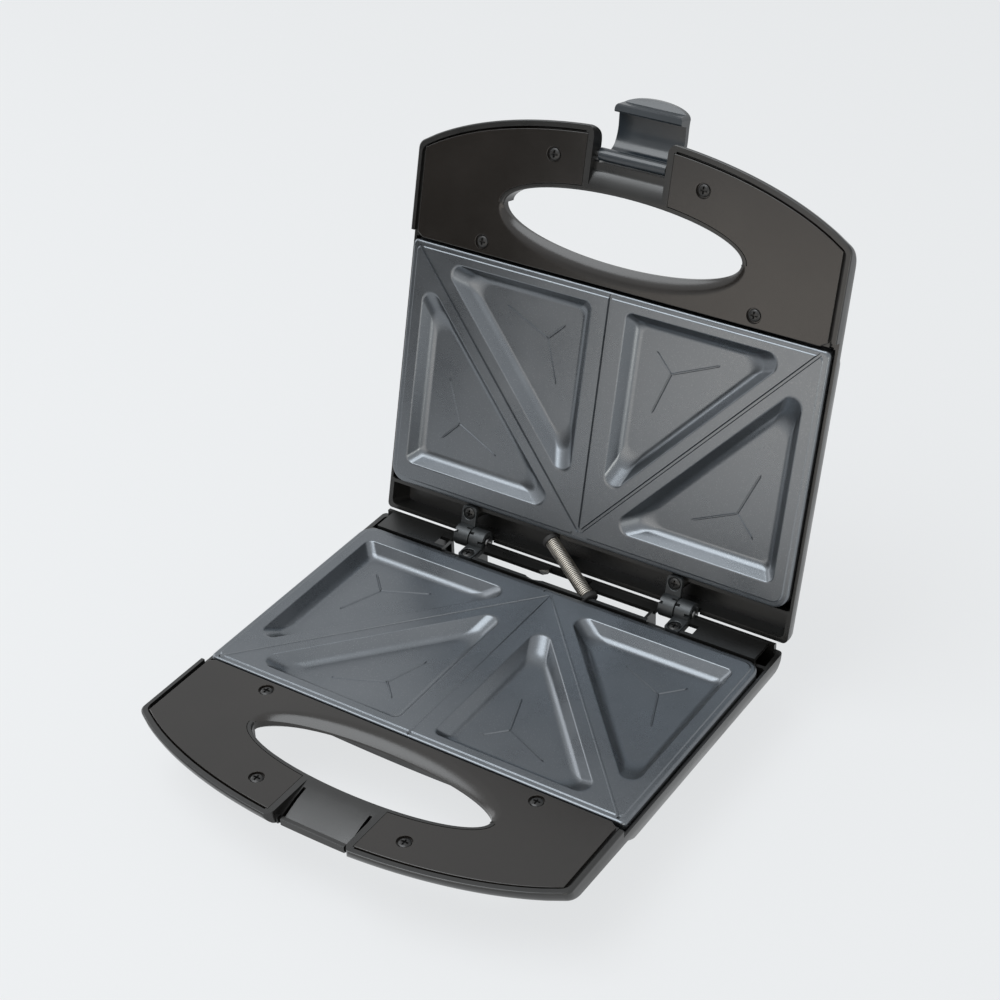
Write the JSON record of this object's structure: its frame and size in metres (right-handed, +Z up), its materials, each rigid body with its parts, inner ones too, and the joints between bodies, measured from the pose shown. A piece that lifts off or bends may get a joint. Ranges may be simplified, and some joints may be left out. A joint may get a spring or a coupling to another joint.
{
  "type": "sandwich toaster",
  "caption": "Open sandwich toaster: two hinged halves with ribbed triangle pocket plates, loop handles, a spring conduit between the halves and a flip latch.",
  "frame": {"origin": "on the surface that the toaster stands on, under the middle of its outline with the lid open", "axes": "+Z up, +X along the hinge axis to the right of a user, the handles face -Y and the hinge is toward +Y; the rest pose is fully open with the latch flipped out"},
  "size_m": [0.224, 0.2936, 0.2544],
  "materials": {
    "housing_plastic": "satin black moulded heat-resistant plastic",
    "cover_plastic": "glossy black moulded plastic",
    "nonstick_coating": "satin slate-grey non-stick coating on cast aluminium",
    "element_sheath": "heat-tinted steel sheath",
    "reflector_sheet": "mill-finish sheet",
    "spring_steel": "wound bright spring steel",
    "rubber": "matte black rubber",
    "hinge_metal": "dark phosphated pressed steel",
    "pin_steel": "ground steel",
    "screw_steel": "black-finished cross-head steel",
    "ceramic": "matte ivory heat-resistant insulator",
    "red_lens": "clear red moulded lens",
    "green_lens": "clear green moulded lens",
    "latch_plastic": "semi-gloss slate-black moulded plastic"
  },
  "bodies": {
    "base": {"base_housing": "housing_plastic", "base_handle_cover": "cover_plastic", "base_plate": "nonstick_coating", "base_heating_element": "element_sheath", "base_heat_reflector": "reflector_sheet", "thermostat": "ceramic", "thermal_fuse": "pin_steel", "terminal_block": "ceramic", "cord_gland": "rubber", "base_conduit_bush": "rubber", "spring_conduit": "spring_steel", "foot_front_left": "rubber", "foot_front_right": "rubber", "foot_rear_left": "rubber", "foot_rear_right": "rubber", "base_hinge_leaf_left": "hinge_metal", "base_hinge_leaf_right": "hinge_metal", "hinge_pin_left": "pin_steel", "hinge_pin_right": "pin_steel", "base_hinge_screw_left": "screw_steel", "base_hinge_screw_right": "screw_steel", "base_cover_screw_front_left": "screw_steel", "base_cover_screw_front_right": "screw_steel", "base_cover_screw_rear_left": "screw_steel", "base_cover_screw_rear_right": "screw_steel", "base_plate_screw_left": "screw_steel", "base_plate_screw_right": "screw_steel"},
    "lid": {"lid_housing": "housing_plastic", "lid_handle_cover": "cover_plastic", "lid_plate": "nonstick_coating", "lid_heating_element": "element_sheath", "lid_heat_reflector": "reflector_sheet", "lid_conduit_bush": "rubber", "lid_hinge_leaf_left": "hinge_metal", "lid_hinge_leaf_right": "hinge_metal", "lid_hinge_screw_left": "screw_steel", "lid_hinge_screw_right": "screw_steel", "lid_cover_screw_front_left": "screw_steel", "lid_cover_screw_front_right": "screw_steel", "lid_cover_screw_rear_left": "screw_steel", "lid_cover_screw_rear_right": "screw_steel", "lid_plate_screw_left": "screw_steel", "lid_plate_screw_right": "screw_steel", "power_lamp": "red_lens", "ready_lamp": "green_lens", "lamp_holder": "housing_plastic", "latch_pin": "pin_steel"},
    "latch": {"latch": "latch_plastic"}
  },
  "joints": [
    {"name": "lid_hinge", "type": "hinge", "parent": "base", "child": "lid", "pos_m": [0, 0.06685, 0.038], "axis": [1, 0, 0], "range_deg": [0, 104.46], "deforming": ["spring_conduit"]},
    {"name": "latch_pivot", "type": "hinge", "parent": "lid", "child": "latch", "pos_m": [0, 0.1226, 0.23017], "axis": [1, 0, 0], "range_deg": [0, 90]}
  ]
}
